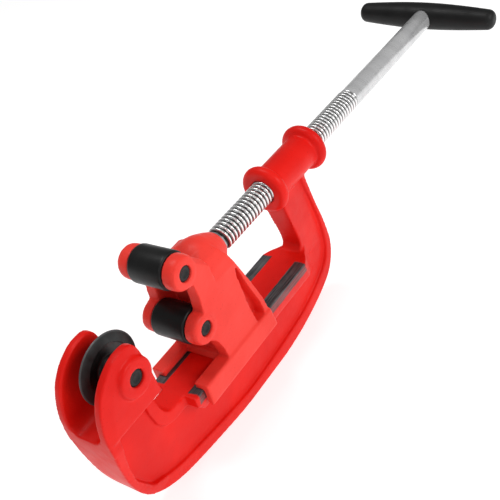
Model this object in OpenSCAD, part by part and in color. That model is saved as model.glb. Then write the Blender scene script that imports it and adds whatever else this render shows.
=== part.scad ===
// Heavy duty pipe cutter, three point pattern: two rollers on a screw-fed slide
// press the pipe against one cutter wheel held in the fork of a cast C frame.
// Frame of the row: +X along the feed screw towards the handle, +Y along the pipe,
// +Z out of the open side of the jaw. Origin: pipe axis, middle plane. Units mm.

/* [Screw] */
// outside diameter of the feed thread
thread_d = 16; // [12:0.5:24]
// pitch of the feed thread
thread_pitch = 3.175; // [2:0.025:6]
// depth of the feed thread
thread_depth = 1.6; // [0.8:0.1:3]
// diameter of the plain shank
shank_d = 15.2; // [10:0.1:24]
// where the thread starts, along X
thread_start = 64; // [60:1:80]
// where the thread ends and the shank starts, along X
thread_end = 229; // [200:1:260]
// distance from the pipe axis to the handle axis
handle_x = 360; // [300:1:420]

/* [Handle] */
// length of the cross handle
handle_length = 113; // [90:1:160]
// diameter of the grip in the middle
grip_d_mid = 20.6; // [16:0.2:30]
// diameter of the grip near its ends
grip_d_end = 14.6; // [10:0.2:24]
// diameter of the steel core inside the grip
core_d = 8; // [6:0.5:12]
// angle of the handle to the pipe direction at rest
handle_turn = 3; // [-90:1:90]

/* [Wheel] */
// diameter of the cutter wheel
wheel_d = 41; // [30:0.2:50]
// distance from the pipe axis to the wheel axis
wheel_x = 37.6; // [30:0.2:60]
// distance of the wheel axis below the screw axis
wheel_drop = 4.6; // [0:0.1:10]
// length of the wheel hub
hub_length = 22; // [12:0.5:24]
// diameter of the wheel pin
wheel_pin_d = 8; // [6:0.5:12]

/* [Rollers] */
// diameter of each roller
roller_d = 22.4; // [16:0.2:30]
// length of each roller
roller_length = 24; // [18:0.5:40]
// distance of the roller axes from the pipe axis, along X
roller_x = 16.2; // [10:0.1:30]
// distance of each roller axis from the screw axis, along Z
roller_z = 20; // [14:0.1:30]
// diameter of the roller pins
roller_pin_d = 7.5; // [5:0.5:12]

/* [Frame] */
// thickness of the frame plate
plate_t = 16; // [10:0.5:24]
// depth of the recessed web on each side
web_depth = 2.4; // [0.5:0.1:4]
// width of the rail the slide runs on
rail_w = 34; // [24:0.5:44]
// height of the rail top, below the screw axis
rail_top = 55; // [40:0.5:70]
// radius of the screw boss
boss_r = 11.8; // [9:0.1:18]
// outer radius of the two rings round the screw boss
ring_r = 16.3; // [12:0.1:22]

/* [Slide] */
// outer width over the two cheeks of the slide
cheek_w = 40.8; // [30:0.2:50]
// outer width over the two shoes of the slide
shoe_w = 43; // [36:0.5:54]
// side clearance between the shoes and the rail
shoe_gap = 0.35; // [0.2:0.05:1]

/* [Hidden] */
cast_red = [0.80, 0.10, 0.08];
slide_red = [0.93, 0.26, 0.22];
black_steel = [0.12, 0.12, 0.13];
plated = [0.78, 0.78, 0.80];
grip_black = [0.07, 0.07, 0.07];
cheek = cheek_w / 2;
shoe = shoe_w / 2;
rail = rail_w / 2;
roller_half = roller_length / 2;
lug_in = roller_half + 0.4;
slot_half = hub_length / 2 + 1;
ear_rim = 16.8;
ear_boss = 20.6;
neck_d = 10;
groove_d = 8;
neck_end = 36.6;
ring_x = 38.3;
ring_t = 1.2;
wall_x = 41;
slide_back = 62.5;
bore_clear = 0.05;
foot = 110.7;
lug_face = 20.7;
arm_slope = 4.9;
thread_root = thread_d / 2 - thread_depth;
thread_turns = floor((thread_end - thread_start - 1) / thread_pitch);

// ---------- helpers ----------
// Catmull-Rom curve through a list of points, n steps a span
function curve(a, b, c, d, t) =
  0.5 * (2 * b + (c - a) * t + (2 * a - 5 * b + 4 * c - d) * t * t
  + (3 * b - a - 3 * c + d) * t * t * t);
function through(p, n) =
  [for (i = [0:len(p) - 4]) for (k = [0:n - 1]) curve(p[i], p[i + 1], p[i + 2], p[i + 3], k / n)];

// a flat XZ shape made t thick about the middle plane
module slab(t) {
  rotate([90, 0, 0])
    linear_extrude(height = t, center = true)
      children();
}

// a flat XZ shape from y = a to y = b, on both sides of the middle plane
module both_sides(a, b) {
  for (s = [-1, 1])
    translate([0, s * (a + b) / 2, 0])
      slab(b - a)
        children();
}

// a flat YZ shape drawn out from x = a to x = b
module along_x(a, b) {
  translate([a, 0, 0])
    rotate([90, 0, 90])
      linear_extrude(height = b - a)
        children();
}

// a round bar along Y between two ends
module bar_y(x, z, r, a, b) {
  translate([x, b, z])
    rotate([90, 0, 0])
      cylinder(h = b - a, r = r, $fn = 64);
}

// a round bar along X between two ends
module bar_x(r, a, b) {
  translate([a, 0, 0])
    rotate([0, 90, 0])
      cylinder(h = b - a, r = r, $fn = 64);
}

// a shape turned about the X axis from a half section (radius, x)
module turned_x() {
  rotate([0, 90, 0])
    rotate_extrude($fn = 96)
      children();
}

// a shape turned about an axis along Y from a half section (radius, y)
module turned_y(x, z) {
  translate([x, 0, z])
    rotate([-90, 0, 0])
      rotate_extrude($fn = 96)
        children();
}

// ---------- frame ----------
outer_points = [
  [147, 20], [148, 0], [153, -30], [158, -53], [159.5, -74], [151.5, -90.5], [135, -100],
  [112, -106.8], [90, -110.2], [66, -111.6], [40, -110.9], [15, -108.5], [-20, -103.5], [-38, -98.5],
  [-51, -91], [-59, -80.5], [-64.5, -65], [-67.2, -47], [-68, -32], [-68, -20]];
inner_points = [
  [-30, -8], [-27, -20], [-26.3, -32], [-26, -40], [-25, -46.5], [-22.3, -52.5], [-17, -55.7],
  [-8, -56.4]];
arm_points = [
  [100, -56.4], [117, -56.4], [123.6, -55.4], [127.3, -52], [127.8, -48.5], [126.9, -42],
  [124.2, -30], [121.2, -16], [120.3, 0], [120.3, 10]];
web_points = [
  [144.5, 8], [145, -6], [146.5, -17], [150, -31], [153.9, -53], [153.2, -72.5], [144.5, -85],
  [120, -95.5], [94, -99.8], [48, -102.8], [22, -100.7], [-6, -96.5], [-30, -92],
  [-50, -83], [-59, -67.5], [-61, -50], [-60.5, -34], [-58, -20]];

// the outer edge with a short flat foot under the middle, so the cutter stands still
function outer_edge() = [for (q = through(outer_points, 4)) [q[0], max(q[1], -foot)]];

module plate_outline() {
  polygon(concat(outer_edge(), [[-68, -31.5]],
    through(inner_points, 3), through(arm_points, 3)));
}

module full_web() {
  polygon(concat(through(web_points, 4), [[-60.5, -34], [-33.5, -34], [-33, -44], [-31, -54],
    [-27, -60.5], [-20.5, -63], [-8, -63.5], [112, -63.5], [112, -6]]));
}

module web_outline() {
  intersection() {
    full_web();
    polygon([[-80, 0], [-80, -120], [170, -120], [170, -63.4], [-10, -63.4], [-30, 0]]);
  }
}

// the arm's side surface: level with its inner edge, deeper towards the outer rim
module arm_ramp() {
  for (s = [-1, 1])
    intersection() {
      slab(60)
        full_web();
      translate([122, s * plate_t / 2, 0])
        rotate([0, 0, -s * arm_slope])
          translate([-20, s > 0 ? 0 : -20, -63.6])
            cube([70, 20, 70]);
    }
}

module ear_outline() {
  polygon(through([[-44, -38], [-26.2, -35.5], [-26, -15], [-26.6, -3], [-27.8, 7], [-31.5, 12],
    [-38, 13], [-45, 11.6], [-53, 7.2], [-60, 0.2], [-65, -10], [-67.6, -21], [-68, -35.5],
    [-68, -46]], 4));
}

module ear_face() {
  polygon([[-27.5, -29], [-27.5, -3], [-31, 6], [-37, 8.5], [-43, 7], [-52, -1], [-58, -12],
    [-61, -22], [-62, -29]]);
}

// the two ears of the fork, before the slot is cut
module fork() {
  intersection() {
    union() {
      slab(2 * ear_rim)
        ear_outline();
      for (s = [-1, 1])
        hull() {
          translate([0, s * (ear_rim - 0.2), 0])
            slab(0.4)
              ear_outline();
          translate([0, s * (ear_rim + 0.9), 0])
            slab(0.4)
              ear_face();
        }
    }
    along_x(-80, 0)
      polygon([[0, -36], [9, -35.6], [16.4, -28], [18.2, -26.8], [25, -26.8], [25, 20],
        [-25, 20], [-25, -26.8], [-18.2, -26.8], [-16.4, -28], [-9, -35.6]]);
  }
  turned_y(-wheel_x, -wheel_drop)
    polygon([[0, -ear_boss], [10.4, -ear_boss], [11.6, -ear_boss + 1.2], [11.6, ear_boss - 1.2],
      [10.4, ear_boss], [0, ear_boss]]);
}

// the slot the wheel sits in, open at the top, the front and the back
module fork_slot() {
  translate([-27, 0, -27.6])
    rotate([0, -1, 0])
      along_x(-60, 24)
        polygon(concat([[-slot_half, 60]],
          [for (a = [180:15:270]) [8 - slot_half + 8 * cos(a), 8 + 8 * sin(a)]],
          [for (a = [270:15:360]) [slot_half - 8 + 8 * cos(a), 8 + 8 * sin(a)]],
          [[slot_half, 60]]));
}

module back_flange() {
  intersection() {
    slab(60)
      polygon(concat(outer_edge(), [[-68, -31.5], [-67.8, -24], [-60, -24],
        [-60.5, -31.5], [-61.5, -50], [-60, -66], [-51, -83], [-30, -92.5], [140, -86],
        [140, -10]]));
    along_x(-70, -40)
      polygon([[-16.8, -20], [-17.2, -33], [-8, -92], [8, -92], [17.2, -33], [16.8, -20]]);
  }
}

module rail_section() {
  polygon([[-rail, -rail_top], [-rail, -rail_top - 6.5], [-rail + 1.3, -rail_top - 13],
    [-8, -rail_top - 21], [-5, -rail_top - 22.5], [5, -rail_top - 22.5],
    [8, -rail_top - 21], [rail - 1.3, -rail_top - 13], [rail, -rail_top - 6.5],
    [rail, -rail_top]]);
}

module rail_block() {
  difference() {
    along_x(-8, 116)
      rail_section();
    slab(60)
      polygon([[-9, -62.5], [-7, -62.5], [6, -80], [-9, -80]]);
  }
  intersection() {
    along_x(115.9, 134)
      rail_section();
    translate([0, 0, -90])
      linear_extrude(height = 60)
        polygon([[110, -rail], [116, -rail], [121, -14.5], [126, -10.5], [134, -6],
          [134, 6], [126, 10.5], [121, 14.5], [116, rail], [110, rail]]);
  }
}

module boss() {
  bar_x(boss_r, 115, 169);
  for (x = [118, 166])
    turned_x()
      polygon(concat([[0, x - 4]], [for (a = [-90:15:90])
        [ring_r - 4 + 4 * cos(a), x + 4 * sin(a)]], [[0, x + 4]]));
}

module frame() {
  color(cast_red)
    difference() {
      union() {
        difference() {
          slab(plate_t)
            plate_outline();
          both_sides(plate_t / 2 - web_depth, plate_t / 2 + 1)
            web_outline();
          arm_ramp();
        }
        back_flange();
        rail_block();
        fork();
        boss();
      }
      fork_slot();
      bar_x(thread_d / 2 + 0.35, 100, 180);
      bar_y(-wheel_x, -wheel_drop, wheel_pin_d / 2, -30, 30);
      for (s = [-1, 1])
        translate([0, s * (ear_boss + 1.6), 0])
          bar_y(-wheel_x, -wheel_drop, wheel_pin_d / 2 + 1, -4, 4);
    }
}

module wheel_pin() {
  color(black_steel)
    turned_y(-wheel_x, -wheel_drop)
      polygon([[0, -ear_boss + 1.6], [wheel_pin_d / 2 - 0.7, -ear_boss + 1.6],
        [wheel_pin_d / 2, -ear_boss + 2.2], [wheel_pin_d / 2, ear_boss - 2.2],
        [wheel_pin_d / 2 - 0.7, ear_boss - 1.6], [0, ear_boss - 1.6]]);
}

module cutter_wheel() {
  color(black_steel)
    turned_y(-wheel_x, -wheel_drop)
      polygon([[wheel_pin_d / 2 + bore_clear, -hub_length / 2], [7.4, -hub_length / 2],
        [8.2, -hub_length / 2 + 0.8], [8.2, -1.8], [8.8, -1.1], [14.2, -1.1], [14.8, -1.9],
        [wheel_d / 2, -0.12], [wheel_d / 2, 0.12], [14.8, 1.9], [14.2, 1.1], [8.8, 1.1],
        [8.2, 1.8], [8.2, hub_length / 2 - 0.8], [7.4, hub_length / 2],
        [wheel_pin_d / 2 + bore_clear, hub_length / 2]]);
}

// ---------- slide ----------
module cheek_outline() {
  difference() {
    union() {
      translate([roller_x, roller_z])
        circle(r = 9.4, $fn = 64);
      translate([roller_x, -roller_z])
        circle(r = 9.4, $fn = 64);
      polygon([[17.2, roller_z + 9.2], [22.9, 26.7], [35.5, 13], [41, 10.5], [46, 9.5],
        [49.5, 6], [50, 0], [51.4, -18.8], [52.4, -35.4], [55, -51], [24, -51], [22.8, -42],
        [20, -34], [16, -roller_z - 9.3], [19, 0]]);
    }
    translate([-1.5, 0])
      circle(r = 20.3, $fn = 64);
  }
}

// the rounded nose of each lug round a roller pin
module lug(z) {
  for (s = [-1, 1])
    turned_y(roller_x, z)
      polygon([[0, s * lug_in], [10.3, s * lug_in], [10.3, s * (lug_in + 4)],
        [10, s * (lug_face - 2)], [9.2, s * (lug_face - 0.8)], [7.8, s * lug_face],
        [0, s * lug_face]]);
}

// what is taken off the cheeks: their long upper edge, and their corners beside the dome
module cheek_rounding() {
  for (s = [-1, 1]) {
    translate([22.7, 0, 26.9])
      rotate([0, 46, 0])
        along_x(0, 18)
          polygon([[s * 15.5, 0], [s * 15.5, 4], [s * 25, 4], [s * 25, -6]]);
    along_x(34, 70)
      polygon([[s * 20.6, -2], [s * 18.6, 5], [s * 14, 10], [s * 8, 12.6], [s * 8, 40],
        [s * 40, 40], [s * 40, -2]]);
  }
}

module rear_outline() {
  polygon([[49, 12.5], [53.4, -3.1], [60.2, -22.6], [65.6, -40], [67.6, -51], [63.2, -51],
    [61.3, -40], [55.9, -22.6], [49.6, -4], [45, 10], [45, 12.5]]);
}

module recess_outline() {
  polygon([[50.6, 3], [52.2, -18.8], [53.2, -35.4], [54.6, -48.5], [63.2, -48.5], [61.9, -40],
    [56.6, -22.6]]);
}

// the part behind the rollers that joins the two cheeks
module core_outline() {
  polygon([[34, 10.5], [40, 12.5], [46, 13], [49.5, 11], [52, -3.1], [57, -22.6], [62, -40], [64, -51],
    [28, -51], [27, -42], [31.5, -32], [31.5, -4], [28, 0], [31.5, 4]]);
}

module slide_dome() {
  turned_x()
    polygon([[0, 33], [10.4, 33], [11.9, 36], [13.6, 39], [14.9, 42], [15.4, 45], [15.2, 48],
      [14.3, 51.6], [12.7, 55], [10.7, 58.8], [9.2, 61], [8.4, slide_back], [0, slide_back]]);
}

module slide_shoes() {
  difference() {
    union() {
      for (s = [-1, 1])
        along_x(0, 70)
          polygon([[s * (shoe - 0.8), -50.6], [s * shoe, -51.4], [s * shoe, -65.2],
            [s * (shoe - 0.8), -66], [s * (rail + shoe_gap), -66],
            [s * (rail + shoe_gap), -rail_top + 0.15], [s * 11.5, -rail_top + 0.15],
            [s * 11.5, -50.6]]);
      slab(2 * cheek)
        polygon([[24, -50.6], [68.2, -50.6], [69, -rail_top + 0.15], [22, -rail_top + 0.15]]);
    }
    slab(60)
      polygon([[68.1, -50], [70.2, -66.5], [80, -66.5], [80, -50]]);
  }
}

module slide() {
  color(slide_red)
    difference() {
      union() {
        difference() {
          union() {
            both_sides(lug_in, cheek)
              cheek_outline();
            slab(2 * lug_in)
              core_outline();
            slab(2 * cheek)
              rear_outline();
          }
          cheek_rounding();
        }
        lug(roller_z);
        lug(-roller_z);
        slide_dome();
        slide_shoes();
      }
      for (s = [-1, 1])
        bar_y(roller_x, s * roller_z, roller_d / 2 + 1, -lug_in, lug_in);
      both_sides(lug_in + 1, cheek + 2)
        recess_outline();
      for (s = [-1, 1]) {
        bar_y(roller_x, s * roller_z, roller_pin_d / 2, -30, 30);
        for (k = [-1, 1])
          translate([0, k * (lug_face + 2.2), 0])
            bar_y(roller_x, s * roller_z, roller_pin_d / 2 + 1, -4, 4);
      }
      bar_x(9, 20, wall_x);
      bar_x(neck_d / 2 + bore_clear, 20, 70);
    }
}

module roller_at(z) {
  color(black_steel)
    turned_y(roller_x, z)
      polygon([[roller_pin_d / 2 + bore_clear, -roller_half], [roller_d / 2 - 0.8, -roller_half],
        [roller_d / 2, -roller_half + 0.8], [roller_d / 2, roller_half - 0.8],
        [roller_d / 2 - 0.8, roller_half], [roller_pin_d / 2 + bore_clear, roller_half]]);
}

module roller_upper() {
  roller_at(roller_z);
}

module roller_lower() {
  roller_at(-roller_z);
}

module roller_pin_at(z) {
  color(black_steel)
    turned_y(roller_x, z)
      polygon([[0, -lug_face + 0.9], [roller_pin_d / 2 - 0.7, -lug_face + 0.9],
        [roller_pin_d / 2, -lug_face + 1.6], [roller_pin_d / 2, lug_face - 1.6],
        [roller_pin_d / 2 - 0.7, lug_face - 0.9], [0, lug_face - 0.9]]);
}

module roller_pin_upper() {
  roller_pin_at(roller_z);
}

module roller_pin_lower() {
  roller_pin_at(-roller_z);
}

// plated collar the end of the thread pushes against
module thrust_collar() {
  color(plated)
    difference() {
      bar_x(7.4, slide_back, thread_start - 0.1);
      bar_x(neck_d / 2 + bore_clear, slide_back - 5, thread_start + 5);
    }
}

// washer and open ring that pull the slide back with the screw
module thrust_washer() {
  color(plated)
    difference() {
      bar_x(8.5, ring_x + ring_t, wall_x);
      bar_x(neck_d / 2 + bore_clear, ring_x - 5, wall_x + 5);
    }
}

module retaining_ring() {
  color(black_steel)
    difference() {
      bar_x(7.4, ring_x, ring_x + ring_t);
      bar_x(groove_d / 2, ring_x - 5, ring_x + 5);
      translate([ring_x, 0, -6])
        cube([6, 4.4, 12], center = true);
    }
}

// ---------- feed screw ----------
function crest(x) = [
  [thread_root, x],
  [thread_d / 2, x + 0.36 * thread_pitch],
  [thread_d / 2, x + 0.48 * thread_pitch],
  [thread_root, x + 0.84 * thread_pitch]];

// thread crests as rings one pitch apart, between the neck and the shank
function thread_side() =
  [for (i = [0:thread_turns - 1]) for (q = crest(thread_start + 0.6 + i * thread_pitch)) q];

module feed_screw() {
  color(plated)
    difference() {
      turned_x()
        polygon(concat([[0, neck_end], [neck_d / 2 - 0.6, neck_end],
          [neck_d / 2, neck_end + 0.6], [neck_d / 2, ring_x], [groove_d / 2, ring_x],
          [groove_d / 2, ring_x + ring_t], [neck_d / 2, ring_x + ring_t],
          [neck_d / 2, thread_start], [thread_root - 0.6, thread_start],
          [thread_root, thread_start + 0.5]],
          thread_side(),
          [[thread_root, thread_end - 0.6], [shank_d / 2, thread_end + 0.8],
          [shank_d / 2, handle_x + 7], [0, handle_x + 7]]));
      turned_handle()
        rotate([90, 0, 0])
          cylinder(h = 40, r = core_d / 2, center = true, $fn = 48);
    }
}

// ---------- handle ----------
module turned_handle() {
  translate([handle_x, 0, 0])
    rotate([handle_turn, 0, 0])
      children();
}

module handle_grip() {
  color(grip_black)
    turned_handle()
      difference() {
        rotate([-90, 0, 0])
          rotate_extrude($fn = 64)
            polygon(concat([[0, -handle_length / 2]],
              [for (a = [0:15:90]) [grip_d_end / 2 - 5 + 5 * sin(a),
                -handle_length / 2 + 5 - 5 * cos(a)]],
              [for (k = [1:9]) [grip_d_end / 2 + (grip_d_mid - grip_d_end) / 2 * sin(18 * k),
                -handle_length / 2 + 5 + (handle_length - 10) * k / 10]],
              [for (a = [90:-15:0]) [grip_d_end / 2 - 5 + 5 * sin(a),
                handle_length / 2 - 5 + 5 * cos(a)]],
              [[0, handle_length / 2]]));
        rotate([90, 0, 0])
          cylinder(h = handle_length - 30, r = core_d / 2, center = true, $fn = 48);
        translate([-30, 0, 0])
          rotate([0, 90, 0])
            cylinder(h = 37, r = shank_d / 2, $fn = 64);
      }
}

module handle_core() {
  color(plated)
    turned_handle()
      rotate([90, 0, 0])
        cylinder(h = handle_length - 30, r = core_d / 2, center = true, $fn = 48);
}

frame();
wheel_pin();
cutter_wheel();
slide();
roller_pin_upper();
roller_pin_lower();
roller_upper();
roller_lower();
thrust_collar();
thrust_washer();
retaining_ring();
feed_screw();
handle_core();
handle_grip();
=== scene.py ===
import math

import bmesh
import bpy
from mathutils import Matrix, Vector


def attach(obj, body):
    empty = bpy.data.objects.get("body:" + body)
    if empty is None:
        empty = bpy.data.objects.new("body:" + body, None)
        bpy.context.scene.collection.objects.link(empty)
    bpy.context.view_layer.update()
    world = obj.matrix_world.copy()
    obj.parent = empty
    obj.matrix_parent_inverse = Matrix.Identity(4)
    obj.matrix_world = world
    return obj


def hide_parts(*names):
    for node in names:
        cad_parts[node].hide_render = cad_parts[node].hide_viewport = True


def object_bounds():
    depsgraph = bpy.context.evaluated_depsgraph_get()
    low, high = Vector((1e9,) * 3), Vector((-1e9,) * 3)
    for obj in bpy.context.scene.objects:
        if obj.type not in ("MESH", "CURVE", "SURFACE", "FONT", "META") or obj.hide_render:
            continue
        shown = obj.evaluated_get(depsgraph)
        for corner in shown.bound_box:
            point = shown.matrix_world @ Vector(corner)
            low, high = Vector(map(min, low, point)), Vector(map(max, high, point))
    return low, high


# Pipe cutter with red enamelled castings, around the CAD model.
# Pieces are measured in millimetres; materials, lights and the camera in metres.
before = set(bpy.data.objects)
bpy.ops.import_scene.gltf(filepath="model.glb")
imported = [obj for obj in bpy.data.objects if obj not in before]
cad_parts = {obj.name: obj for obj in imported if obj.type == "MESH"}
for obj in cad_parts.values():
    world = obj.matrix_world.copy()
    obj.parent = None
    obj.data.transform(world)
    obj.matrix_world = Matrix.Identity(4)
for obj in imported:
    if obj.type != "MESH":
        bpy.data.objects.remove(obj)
cad_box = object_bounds()
MM = 0.001
WHEEL_AXIS = (-37.6, -4.6)  # x and z
WHEEL_PIN = 4.0  # radius
ROLLER_X = 16.2
ROLLER_Z = 20.0  # distance of each roller's axis from the screw's
ROLLER_PIN = 3.75  # radius
SINK_GAP = 1.0  # room round a pin's end in its sink
PITCH = 3.175
THREAD_START = 64.0
THREAD_END = 229.0
THREAD_FOOT = 6.3  # radius the thread starts from
NECK = 5.0  # radius of the hidden end of the screw
SHANK = 7.6  # radius of the plain part of the screw
HANDLE_X = 360.0
HANDLE_CORE = 4.0  # radius of the cross bar
HANDLE_TURN = math.radians(3)
REACH = 30.0  # half length of a tool that cuts right through


# ---------- camera, light and floor ----------
def make_camera():
    aim = Vector((93.5, 5.3, -31.0)) * MM
    distance = 0.5123
    azimuth, elevation, roll = math.radians(-45.46), math.radians(35.91), math.radians(-17.95)
    back = Vector((math.sin(azimuth) * math.cos(elevation), -math.cos(azimuth) * math.cos(elevation),
                   math.sin(elevation)))
    data = bpy.data.cameras.new("photo_view")
    data.lens = 58.27
    data.sensor_width = 36
    data.clip_start = 0.01
    camera = bpy.data.objects.new("photo_view", data)
    bpy.context.scene.collection.objects.link(camera)
    turn = back.to_track_quat("Z", "Y").to_matrix() @ Matrix.Rotation(roll, 3, "Z")
    camera.matrix_world = Matrix.Translation(aim + back * distance) @ turn.to_4x4()
    bpy.context.scene.camera = camera


def make_floor():
    half = 6.0
    low = cad_box[0][2] - 0.0005
    mesh = bpy.data.meshes.new("floor")
    mesh.from_pydata([(-half, -half, low), (half, -half, low), (half, half, low), (-half, half, low)],
                     [], [(0, 1, 2, 3)])
    floor = bpy.data.objects.new("floor", mesh)
    bpy.context.scene.collection.objects.link(floor)
    paint = Paint("pale_floor", roughness=0.95)
    paint.colour(paint.ramp(paint.noise(4.0, 3), [(0.3, 0.66), (0.7, 0.70)]))
    paint.shader.inputs["Emission Color"].default_value = (1, 1, 1, 1)
    paint.shader.inputs["Emission Strength"].default_value = 0.62
    paint.put_on(floor)


def make_world():
    world = bpy.data.worlds.new("studio")
    world.use_nodes = True
    background = world.node_tree.nodes["Background"]
    background.inputs["Color"].default_value = (1, 1, 1, 1)
    background.inputs["Strength"].default_value = 0.27
    bpy.context.scene.world = world


def area_light(name, place, size, power):
    """A soft light turned towards the middle of the tool."""
    middle = Vector((0.1, 0, -0.03))
    data = bpy.data.lights.new(name, "AREA")
    data.shape = "RECTANGLE"
    data.size, data.size_y = size
    data.energy = power
    light = bpy.data.objects.new(name, data)
    light.location = Vector(place)
    light.rotation_euler = (Vector(place) - middle).to_track_quat("Z", "Y").to_euler()
    bpy.context.scene.collection.objects.link(light)


# ---------- materials ----------
class Paint:
    """A node material on one Principled shader, in object coordinates of the piece."""

    def __init__(self, name, **settings):
        self.material = bpy.data.materials.new(name)
        self.material.use_nodes = True
        self.tree = self.material.node_tree
        self.shader = self.tree.nodes["Principled BSDF"]
        for key, value in settings.items():
            words = key.replace("_", " ").title().replace("Ior", "IOR")
            self.shader.inputs[words].default_value = value
        self.place = self.tree.nodes.new("ShaderNodeTexCoord").outputs["Object"]

    def link(self, a, b):
        self.tree.links.new(a, b)

    def node(self, kind, **attributes):
        made = self.tree.nodes.new("ShaderNode" + kind)
        for key, value in attributes.items():
            setattr(made, key, value)
        return made

    def noise(self, scale, detail=2.0, stretch=(1, 1, 1), rough=0.5):
        """Noise whose cells are about 1/scale of a metre, longer along an axis with a small stretch."""
        place = self.place
        if stretch != (1, 1, 1):
            mapping = self.node("Mapping")
            mapping.inputs["Scale"].default_value = stretch
            self.link(place, mapping.inputs["Vector"])
            place = mapping.outputs["Vector"]
        made = self.node("TexNoise")
        made.inputs["Scale"].default_value = scale
        made.inputs["Detail"].default_value = detail
        made.inputs["Roughness"].default_value = rough
        self.link(place, made.inputs["Vector"])
        return made.outputs["Fac"]

    def ramp(self, factor, stops):
        """Colours or grey levels over a factor, from (position, colour or level) stops."""
        made = self.node("ValToRGB")
        band = made.color_ramp
        while len(band.elements) < len(stops):
            band.elements.new(0.5)
        for element, (at, colour) in zip(band.elements, stops):
            element.position = at
            level = colour if isinstance(colour, tuple) else (colour,) * 3
            element.color = (*level, 1)
        self.link(factor, made.inputs["Fac"])
        return made.outputs["Color"]

    def maths(self, operation, a, b=None):
        made = self.node("Math", operation=operation)
        for socket, value in zip(made.inputs, (a, b)):
            if value is None:
                continue
            if isinstance(value, (int, float)):
                socket.default_value = value
            else:
                self.link(value, socket)
        return made.outputs["Value"]

    def times(self, a, b):
        return self.maths("MULTIPLY", a, b)

    def weighted(self, a, share, b):
        """A share of a and the rest of b."""
        return self.maths("ADD", self.times(a, share), self.times(b, 1 - share))

    def mix(self, factor, a, b, blend="MIX"):
        made = self.node("Mix", data_type="RGBA", blend_type=blend)
        for socket, value in ((made.inputs[0], factor), (made.inputs[6], a), (made.inputs[7], b)):
            if isinstance(value, (int, float)):
                socket.default_value = value
            elif isinstance(value, tuple):
                socket.default_value = (*value, 1)
            else:
                self.link(value, socket)
        return made.outputs[2]

    def axes(self):
        """The piece's own x, y and z."""
        made = self.node("SeparateXYZ")
        self.link(self.place, made.inputs[0])
        return made.outputs["X"], made.outputs["Y"], made.outputs["Z"]

    def from_axis(self, a, b):
        """Distance from the line where both a and b are 0."""
        return self.maths("SQRT", self.maths("ADD", self.times(a, a), self.times(b, b)))

    def inside(self, value, low, high, edge):
        """1 where value lies between low and high, fading over edge."""
        results = []
        for zero, one in ((low - edge, low + edge), (high + edge, high - edge)):
            made = self.node("MapRange", clamp=True)
            made.inputs["From Min"].default_value = zero
            made.inputs["From Max"].default_value = one
            self.link(value, made.inputs["Value"])
            results.append(made.outputs["Result"])
        return self.times(*results)

    def edges(self, low, high):
        """1 on convex edges of the mesh, 0 on flats and hollows."""
        return self.ramp(self.node("NewGeometry").outputs["Pointiness"], [(low, 0), (high, 1)])

    def colour(self, source):
        self.link(source, self.shader.inputs["Base Color"])

    def roughness(self, source):
        self.link(source, self.shader.inputs["Roughness"])

    def metal(self, source):
        self.link(source, self.shader.inputs["Metallic"])

    def bumps(self, *layers):
        """Each layer is (height source, depth)."""
        last = None
        for height, depth in layers:
            made = self.node("Bump")
            made.inputs["Distance"].default_value = depth
            made.inputs["Strength"].default_value = 1
            self.link(height, made.inputs["Height"])
            if last:
                self.link(last, made.inputs["Normal"])
            last = made.outputs["Normal"]
        self.link(last, self.shader.inputs["Normal"])

    def put_on(self, piece):
        piece.data.materials.clear()
        piece.data.materials.append(self.material)


def enamel(name, dark, bright, shade, strips=False):
    """Satin enamel over a sand casting: slow colour change, fine grain, rubbed bright at the edges.
    With strips, the rail is milled bare."""
    paint = Paint(name, coat_weight=0.03, coat_roughness=0.2, specular_ior_level=0.16)
    cloud = paint.ramp(paint.noise(28, 3), [(0.35, dark), (0.65, bright)])
    speck = paint.ramp(paint.noise(900, 2), [(0.64, 0), (0.74, 1)])
    cloud = paint.mix(paint.times(speck, 0.35), cloud, shade)
    patches = paint.ramp(paint.noise(160, 3), [(0.5, 0), (0.66, 1)])
    worn = paint.times(paint.edges(0.53, 0.6), patches)
    cloud = paint.mix(paint.times(worn, 0.45), cloud, bright)
    rough = paint.ramp(paint.noise(120, 3), [(0.3, 0.38), (0.7, 0.5)])
    wave_depth, grain_depth = 0.0005, 0.00012
    if strips:
        wave_depth, grain_depth = 0.0004, 0.0001
        bare = rail_bare(paint)
        brushed = paint.noise(1500, 2, stretch=(0.04, 1, 1))
        streak = paint.ramp(brushed, [(0.3, (0.06, 0.065, 0.07)), (0.7, (0.2, 0.21, 0.215))])
        stain = paint.ramp(paint.noise(90, 4), [(0.4, (0.62, 0.6, 0.6)), (0.62, (1, 1, 1))])
        steel = paint.mix(0.8, streak, stain, "MULTIPLY")
        cloud = paint.mix(bare, cloud, steel)
        rough = paint.mix(bare, rough, paint.ramp(brushed, [(0.3, 0.3), (0.7, 0.46)]))
        paint.metal(paint.times(bare, 0.7))
    paint.colour(cloud)
    paint.roughness(rough)
    grain = paint.noise(420, 3, rough=0.55)
    paint.bumps((paint.noise(70, 2), wave_depth), (grain, grain_depth))
    return paint


def rail_bare(paint):
    """Where the frame is milled bare: two strips on top of the rail and both its sides below them."""
    run_start, run_end = -0.0050, 0.1155
    strip_inner, side_inner, outer = 0.0092, 0.0155, 0.0200
    side_low, top_low, top_high = -0.0612, -0.0562, -0.0530
    x, y, z = paint.axes()
    ragged = paint.times(paint.maths("SUBTRACT", paint.noise(140, 3), 0.5), 0.0022)
    across = paint.maths("ADD", paint.maths("ABSOLUTE", y), paint.times(ragged, 0.35))
    along = paint.maths("ADD", x, paint.times(ragged, 1.5))
    depth = paint.maths("ADD", z, ragged)
    run = paint.inside(along, run_start, run_end, 0.0005)
    top = paint.times(paint.inside(across, strip_inner, outer, 0.0002),
                      paint.inside(z, top_low, top_high, 0.0002))
    side = paint.times(paint.inside(across, side_inner, outer, 0.0002),
                       paint.inside(depth, side_low, top_high, 0.0003))
    return paint.times(run, paint.maths("MAXIMUM", top, paint.times(side, 0.8)))


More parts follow.
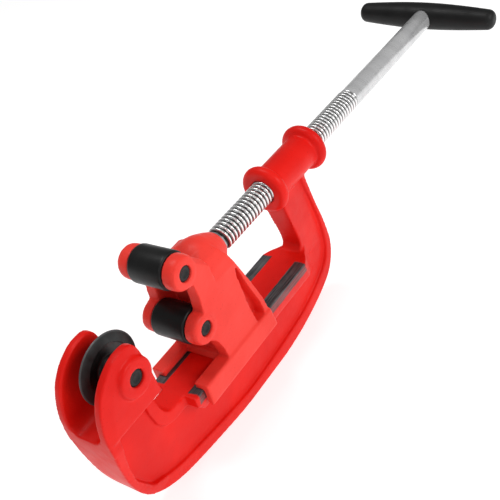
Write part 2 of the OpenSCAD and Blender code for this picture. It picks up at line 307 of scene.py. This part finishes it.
def turned_steel(name, dark, bright, rough, stretch):
    """Steel with fine rings round one axis, soft bands along it and small stains."""
    paint = Paint(name, metallic=0.95)
    rings = paint.noise(3200, 2, stretch=stretch)
    bands = paint.noise(260, 2, stretch=stretch)
    colour = paint.ramp(paint.weighted(rings, 0.45, bands), [(0.32, dark), (0.68, bright)])
    stain = paint.ramp(paint.noise(60, 3), [(0.3, 0.88), (0.7, 1.0)])
    paint.colour(paint.mix(1.0, colour, stain, "MULTIPLY"))
    paint.roughness(paint.ramp(paint.noise(240, 3), [(0.3, rough[0]), (0.7, rough[1])]))
    paint.bumps((rings, 0.00003), (paint.noise(700, 3), 0.00003))
    return paint


def black_finish(name, dark, bright, rough, grain, depth, worn):
    """Black moulded plastic or blackened steel: soft grain, cloudy black, edges rubbed lighter."""
    paint = Paint(name, specular_ior_level=0.25)
    cloud = paint.ramp(paint.noise(45, 4), [(0.35, dark), (0.68, bright)])
    rubbed = (bright * 2.2 + 0.02,) * 3
    paint.colour(paint.mix(paint.times(paint.edges(0.52, 0.58), worn), cloud, rubbed))
    paint.roughness(paint.ramp(paint.noise(110, 4), [(0.3, rough[0]), (0.7, rough[1])]))
    paint.bumps((paint.noise(grain, 3), depth))
    return paint


def screw_plating():
    """Bright plating, with painted shade in the thread roots and a painted highlight on the crests; satin
    along the plain shank.
    """
    paint = Paint("screw_plating")
    x, y, z = paint.axes()
    threaded = paint.inside(x, 0.0643, 0.2285, 0.0002)
    centimetres = paint.times(paint.from_axis(y, z), 100)
    # Painted shade and highlight: near black at the thread roots, bright towards the crests, by distance
    # from the axis.
    thread_root_shade_crest_highlight = paint.ramp(centimetres, [(0.655, 0.02), (0.70, 0.12), (0.765, 0.82), (0.8, 0.95)])
    rings = paint.noise(2600, 2, stretch=(1, 0.03, 0.03))
    bands = paint.noise(60, 2, stretch=(1, 0.1, 0.1))
    satin = paint.ramp(paint.weighted(rings, 0.4, bands),
                       [(0.35, (0.57, 0.57, 0.575)), (0.65, (0.74, 0.74, 0.745))])
    paint.colour(paint.mix(threaded, satin, thread_root_shade_crest_highlight))
    paint.metal(paint.maths("ADD", 0.5, paint.times(threaded, 0.32)))
    smear = paint.noise(130, 3)
    paint.roughness(paint.mix(threaded, paint.ramp(smear, [(0.3, 0.24), (0.7, 0.32)]),
                              paint.ramp(smear, [(0.3, 0.16), (0.7, 0.26)])))
    paint.bumps((rings, 0.00001))
    return paint


def wheel_steel():
    """Black sunk faces and hub, a lighter ground bevel and a bright keen edge."""
    bevel_start, keen_start, beyond = 0.0144, 0.0197, 0.03
    paint = Paint("wheel_steel", coat_weight=0.1, coat_roughness=0.2)
    x, _, z = paint.axes()
    reach = paint.from_axis(paint.maths("SUBTRACT", x, WHEEL_AXIS[0] * MM),
                            paint.maths("SUBTRACT", z, WHEEL_AXIS[1] * MM))
    ground = paint.inside(reach, bevel_start, beyond, 0.0002)
    keen = paint.inside(reach, keen_start, beyond, 0.0003)
    cloud = paint.noise(170, 3)
    black = paint.ramp(cloud, [(0.3, 0.002), (0.7, 0.006)])
    bevel = paint.ramp(cloud, [(0.3, (0.012, 0.013, 0.013)), (0.7, (0.028, 0.030, 0.030))])
    colour = paint.mix(ground, black, bevel)
    paint.colour(paint.mix(paint.times(keen, 0.2), colour, (0.3, 0.3, 0.31)))
    paint.metal(paint.times(ground, 0.55))
    paint.roughness(paint.ramp(paint.noise(300, 3), [(0.3, 0.34), (0.7, 0.52)]))
    paint.bumps((paint.noise(1400, 2), 0.00003))
    return paint


# ---------- meshes ----------
TURNING = {"x": (Vector((1, 0, 0)), Vector((0, 1, 0)), Vector((0, 0, 1))),
           "y": (Vector((0, 1, 0)), Vector((0, 0, 1)), Vector((1, 0, 0)))}


def new_piece(name, bm):
    """A piece from a finished bmesh, which is freed."""
    mesh = bpy.data.meshes.new(name)
    bm.to_mesh(mesh)
    bm.free()
    piece = bpy.data.objects.new(name, mesh)
    bpy.context.scene.collection.objects.link(piece)
    return piece


def copy_of(node, name):
    """A piece with a CAD node's mesh, its split corners joined."""
    bm = bmesh.new()
    bm.from_mesh(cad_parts[node].data)
    bmesh.ops.remove_doubles(bm, verts=bm.verts, dist=1e-6)
    return new_piece(name, bm)


def apply_modifiers(piece):
    bpy.context.view_layer.update()
    view = bpy.context.evaluated_depsgraph_get()
    mesh = bpy.data.meshes.new_from_object(piece.evaluated_get(view))
    piece.modifiers.clear()
    old = piece.data
    piece.data = mesh
    bpy.data.meshes.remove(old)


def lathe(name, profile, axis, centre=(0, 0, 0), steps=96):
    """A turned mesh from (distance along the axis, radius) points. A radius of 0 closes an end, and a
    profile that comes back to its first point makes a ring."""
    along, side_a, side_b = TURNING[axis]
    centre = Vector(centre) * MM
    angles = [2 * math.pi * i / steps for i in range(steps)]
    spokes = [side_a * math.cos(angle) + side_b * math.sin(angle) for angle in angles]
    ring = profile[0] == profile[-1]
    bm = bmesh.new()
    rows = []
    for at, radius in profile[:-1] if ring else profile:
        hub = centre + along * at * MM
        used = spokes if radius else spokes[:1]
        rows.append([bm.verts.new(hub + radius * MM * spoke) for spoke in used])
    if ring:
        rows.append(rows[0])
    for low, high in zip(rows, rows[1:]):
        for i in range(steps):
            j = (i + 1) % steps
            corners = [low[i], low[j]] if len(low) > 1 else [low[0]]
            corners += [high[j], high[i]] if len(high) > 1 else [high[0]]
            bm.faces.new(corners)
    bmesh.ops.recalc_face_normals(bm, faces=bm.faces)
    return new_piece(name, bm)


def both_halves(half):
    """A profile that is the same on both sides of 0, from its positive half with the outer end first."""
    return [(-at, radius) for at, radius in half] + [(at, radius) for at, radius in reversed(half)]


def ring_of(half):
    """The same, closed to a ring."""
    profile = both_halves(half)
    return profile + profile[:1]


def drill(low, high, radius, axis, centre=(0, 0, 0), steps=96):
    """A cutting tool: a plain cylinder from low to high along the axis."""
    return lathe("tool", [(low, 0), (low, radius), (high, radius), (high, 0)], axis, centre, steps)


def pin_bore(x, z, floor, pin):
    """Cutting tools for a pin's cross bore and the wider sinks beyond floor at its two ends."""
    tools = [drill(-REACH, REACH, pin, "y", (x, 0, z))]
    for low, high in ((-REACH, -floor), (floor, REACH)):
        tools.append(drill(low, high, pin + SINK_GAP, "y", (x, 0, z)))
    return tools


def cut(piece, tools):
    """Takes the tool pieces out of this one, then removes them."""
    for tool in tools:
        step = piece.modifiers.new("cut", "BOOLEAN")
        step.operation = "DIFFERENCE"
        step.solver = "EXACT"
        step.object = tool
    apply_modifiers(piece)
    for tool in tools:
        bpy.data.objects.remove(tool)


def joined(pieces, name):
    """Several meshes as one piece, meeting rings welded."""
    bm = bmesh.new()
    for piece in pieces:
        bm.from_mesh(piece.data)
        bpy.data.objects.remove(piece)
    bmesh.ops.remove_doubles(bm, verts=bm.verts, dist=1e-6)
    bmesh.ops.recalc_face_normals(bm, faces=bm.faces)
    return new_piece(name, bm)


def shade_smooth(piece, degrees):
    """Smooth shading, except across edges steeper than this, so that flats stay flat beside rounds."""
    limit = math.radians(degrees)
    bm = bmesh.new()
    bm.from_mesh(piece.data)
    for face in bm.faces:
        face.smooth = True
    for edge in bm.edges:
        edge.smooth = len(edge.link_faces) == 2 and edge.calc_face_angle(0) < limit
    bm.to_mesh(piece.data)
    bm.free()


def finish_piece(piece, body, node):
    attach(piece, body)
    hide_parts(node)


# ---------- castings ----------
def casting(node, name, voxel, keep, bores):
    """The CAD casting with rounded edges: an even mesh, softened, with its machined bores cut again."""
    piece = copy_of(node, name)
    remesh = piece.modifiers.new("even", "REMESH")
    remesh.mode = "VOXEL"
    remesh.voxel_size = voxel * MM
    soften = piece.modifiers.new("soften", "SMOOTH")
    soften.factor = 0.5
    soften.iterations = 6
    fewer = piece.modifiers.new("fewer", "DECIMATE")
    fewer.ratio = keep
    apply_modifiers(piece)
    cut(piece, bores)
    shade_smooth(piece, 40)
    return piece


def frame_piece():
    sink_floor = 18.2
    boss_start, boss_end, boss_bore = 105, 178, 8.35
    bores = pin_bore(*WHEEL_AXIS, sink_floor, WHEEL_PIN)
    bores.append(drill(boss_start, boss_end, boss_bore, "x"))
    piece = casting("frame", "frame_casting", 0.7, 0.45, bores)
    enamel("frame_enamel", (0.72, 0.006, 0.003), (0.82, 0.011, 0.006), (0.45, 0.004, 0.002),
           strips=True).put_on(piece)
    finish_piece(piece, "c_frame", "frame")


def slide_piece():
    sink_floor = 18.5
    wall_start, wall_end, wall_bore = 30, 70, NECK + 0.05
    bores = [drill(wall_start, wall_end, wall_bore, "x")]
    for side in (-1, 1):
        bores += pin_bore(ROLLER_X, side * ROLLER_Z, sink_floor, ROLLER_PIN)
    piece = casting("slide", "slide_casting", 0.6, 0.5, bores)
    enamel("slide_enamel", (0.84, 0.038, 0.026), (0.93, 0.055, 0.040), (0.60, 0.022, 0.015)).put_on(piece)
    finish_piece(piece, "roller_slide", "slide")


# ---------- feed screw ----------
def thread_radius(share):
    """Radius over one pitch of the thread: a narrow root, a slope up, a rolled crest, a slope down."""
    corners = [(0.0, 6.55), (0.10, 6.4), (0.20, 6.55), (0.42, 7.8), (0.50, 8.0), (0.70, 8.0), (0.78, 7.8),
               (1.0, 6.55)]
    for (a, low), (b, high) in zip(corners, corners[1:]):
        if share <= b:
            return low + (high - low) * (share - a) / (b - a)
    return corners[-1][1]


def faded(at, length):
    """0 at the end of the thread, 1 from length inwards."""
    return min(1.0, max(0.0, at / length))


def thread_piece():
    """A true right-hand helix: rows of points that climb one pitch a turn, running out at both ends."""
    steps = 72
    start_fade, end_fade = 2.2, 3.0
    shares = [0.0, 0.10, 0.20, 0.31, 0.42, 0.50, 0.60, 0.70, 0.78, 0.89]
    count = len(shares)
    turns = int((THREAD_END - THREAD_START) / PITCH) + 2
    bm = bmesh.new()
    rows = []
    for step in range(-count, turns * count):
        turn, part = divmod(step, count)
        full = thread_radius(shares[part])
        row = []
        for i in range(steps):
            at = THREAD_START + PITCH * (turn + shares[part] + i / steps)
            radius = THREAD_FOOT + (full - THREAD_FOOT) * faded(at - THREAD_START, start_fade)
            radius = SHANK + (radius - SHANK) * faded(THREAD_END - at, end_fade)
            at = min(max(at, THREAD_START), THREAD_END)
            angle = 2 * math.pi * i / steps
            row.append(bm.verts.new(Vector((at, radius * math.cos(angle), radius * math.sin(angle))) * MM))
        rows.append(row)
    for k in range(len(rows) - 1):
        for i in range(steps):
            j = (i + 1) % steps
            up = 0 if j else count
            if k + up + 1 < len(rows):
                bm.faces.new((rows[k][i], rows[k + up][j], rows[k + up + 1][j], rows[k + 1][i]))
    bmesh.ops.remove_doubles(bm, verts=bm.verts, dist=2e-7)
    bmesh.ops.dissolve_degenerate(bm, dist=1e-7, edges=bm.edges)
    loose = [v for v in bm.verts if not v.link_faces]
    bmesh.ops.delete(bm, geom=loose, context="VERTS")
    return new_piece("thread", bm)


def feed_screw():
    """Necked nose with a ring groove, thread and plain shank in one mesh, with the handle's cross hole."""
    nose, groove_start, groove_end, groove = 36.6, 38.3, 39.5, 4.0
    tip = HANDLE_X + 7
    neck = lathe("neck", [(nose, 0), (nose, NECK - 0.6), (nose + 0.6, NECK), (groove_start, NECK),
                          (groove_start, groove), (groove_end, groove), (groove_end, NECK),
                          (THREAD_START, NECK), (THREAD_START, THREAD_FOOT)], "x", steps=72)
    shank = lathe("shank", [(THREAD_END, SHANK), (THREAD_END + 60, SHANK), (tip - 0.8, SHANK),
                            (tip, SHANK - 0.8), (tip, 0)], "x", steps=72)
    piece = joined([thread_piece(), neck, shank], "feed_screw_turned")
    cut(piece, [handle_turned(drill(-20, 20, HANDLE_CORE, "y", (HANDLE_X, 0, 0), 48))])
    shade_smooth(piece, 45)
    screw_plating().put_on(piece)
    finish_piece(piece, "screw_and_handle", "feed_screw")


def handle_turned(piece):
    """The handle's pieces stand a little turned round the screw's axis at rest."""
    piece.data.transform(Matrix.Rotation(HANDLE_TURN, 4, "X"))
    return piece


# ---------- turned pieces ----------
def cutter_wheel():
    """Thin sharp rim, ground bevels, sunk faces and a long hub with rounded lips."""
    half = [(11.0, 4.05), (11.0, 7.3), (10.8, 7.9), (10.2, 8.2), (2.2, 8.2), (1.5, 8.5), (1.1, 9.2),
            (1.1, 13.8), (1.3, 14.3), (1.75, 14.6), (1.9, 15.0), (1.6, 15.9), (0.3, 20.15), (0.1, 20.45)]
    piece = lathe("cutter_wheel_turned", ring_of(half), "y", (WHEEL_AXIS[0], 0, WHEEL_AXIS[1]), 160)
    shade_smooth(piece, 24)
    wheel_steel().put_on(piece)
    finish_piece(piece, "wheel", "cutter_wheel")


def rollers():
    half = [(12.0, 3.8), (12.0, 9.8), (11.9, 10.3), (11.6, 10.8), (11.1, 11.09), (10.4, 11.19)]
    paint = black_finish("roller_black", 0.004, 0.010, (0.32, 0.46), 800, 0.00004, 0.25)
    for side, end, body in ((1, "upper", "upper_roller"), (-1, "lower", "lower_roller")):
        piece = lathe("roller_" + end + "_turned", ring_of(half), "y", (ROLLER_X, 0, side * ROLLER_Z), 128)
        shade_smooth(piece, 40)
        paint.put_on(piece)
        finish_piece(piece, body, "roller_" + end)


def pins():
    """Plain pins with a rounded head and a shallow dish at both ends."""
    paint = black_finish("pin_black", 0.005, 0.016, (0.34, 0.5), 900, 0.00004, 0.3)
    rows = [("wheel_pin", "c_frame", WHEEL_AXIS, WHEEL_PIN, 19.5),
            ("roller_pin_upper", "roller_slide", (ROLLER_X, ROLLER_Z), ROLLER_PIN, 19.7),
            ("roller_pin_lower", "roller_slide", (ROLLER_X, -ROLLER_Z), ROLLER_PIN, 19.7)]
    for node, body, (x, z), radius, end in rows:
        head = radius + SINK_GAP - 0.1
        half = [(end - 0.5, 0), (end - 0.5, radius - 1.5), (end - 0.05, radius - 1.1), (end, radius - 0.6),
                (end - 0.1, head - 0.5), (end - 0.4, head - 0.1), (end - 0.7, head), (end - 1.1, head),
                (end - 1.1, radius)]
        piece = lathe(node + "_headed", both_halves(half), "y", (x, 0, z), 64)
        shade_smooth(piece, 50)
        paint.put_on(piece)
        finish_piece(piece, body, node)


def grip():
    """Moulded cross grip: a barrel that swells to the middle, full rounded ends, a socket for the shank."""
    half_length, corner, steps = 56.3, 5.6, 36
    end_radius, swell = 7.3, 2.95
    core_reach = 41.5
    barrel = []
    for k in range(steps + 1):
        at = (half_length - corner) * (2 * k / steps - 1)
        barrel.append((at, end_radius + swell * math.cos(math.pi * at / (2 * half_length))))
    rounding = []
    for k in range(9):
        angle = math.pi / 2 * k / 8
        rounding.append((-half_length + corner * (1 - math.cos(angle)),
                         barrel[0][1] - corner * (1 - math.sin(angle))))
    profile = [(-half_length, 0)] + rounding + barrel[1:-1]
    profile += [(-at, radius) for at, radius in reversed(rounding)] + [(half_length, 0)]
    piece = handle_turned(lathe("grip_moulded", profile, "y", (HANDLE_X, 0, 0)))
    bore = handle_turned(drill(-core_reach, core_reach, HANDLE_CORE, "y", (HANDLE_X, 0, 0), 48))
    socket = drill(HANDLE_X - 30, HANDLE_X + 7, SHANK, "x", steps=72)
    cut(piece, [bore, socket])
    shade_smooth(piece, 40)
    black_finish("grip_plastic", 0.003, 0.007, (0.42, 0.56), 1100, 0.00006, 0.06).put_on(piece)
    finish_piece(piece, "screw_and_handle", "handle_grip")


def small_steel():
    """Small turned pieces keep their CAD shape and get their own steels."""
    dark = black_finish("ring_black", 0.012, 0.035, (0.35, 0.5), 900, 0.00004, 0.5)
    along_x, along_y = (1, 0.03, 0.03), (0.03, 1, 0.03)
    bright = turned_steel("washer_steel", (0.36, 0.36, 0.37), (0.62, 0.62, 0.63), (0.26, 0.4), along_x)
    core = turned_steel("core_steel", (0.3, 0.3, 0.31), (0.5, 0.5, 0.51), (0.3, 0.45), along_y)
    for node, paint in (("thrust_collar", bright), ("retaining_ring", dark), ("thrust_washer", bright),
                        ("handle_core", core)):
        paint.put_on(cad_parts[node])


make_camera()
make_floor()
make_world()
area_light("key", (0.25, -1.3, 0.75), (0.8, 0.6), 10.4)
area_light("fill", (-1.2, -0.5, 0.9), (0.5, 0.5), 2.0)
area_light("top", (0.1, 0.3, 1.4), (0.4, 0.8), 8.4)
frame_piece()
slide_piece()
feed_screw()
cutter_wheel()
rollers()
pins()
grip()
small_steel()

bpy.context.scene.view_settings.view_transform = "Standard"
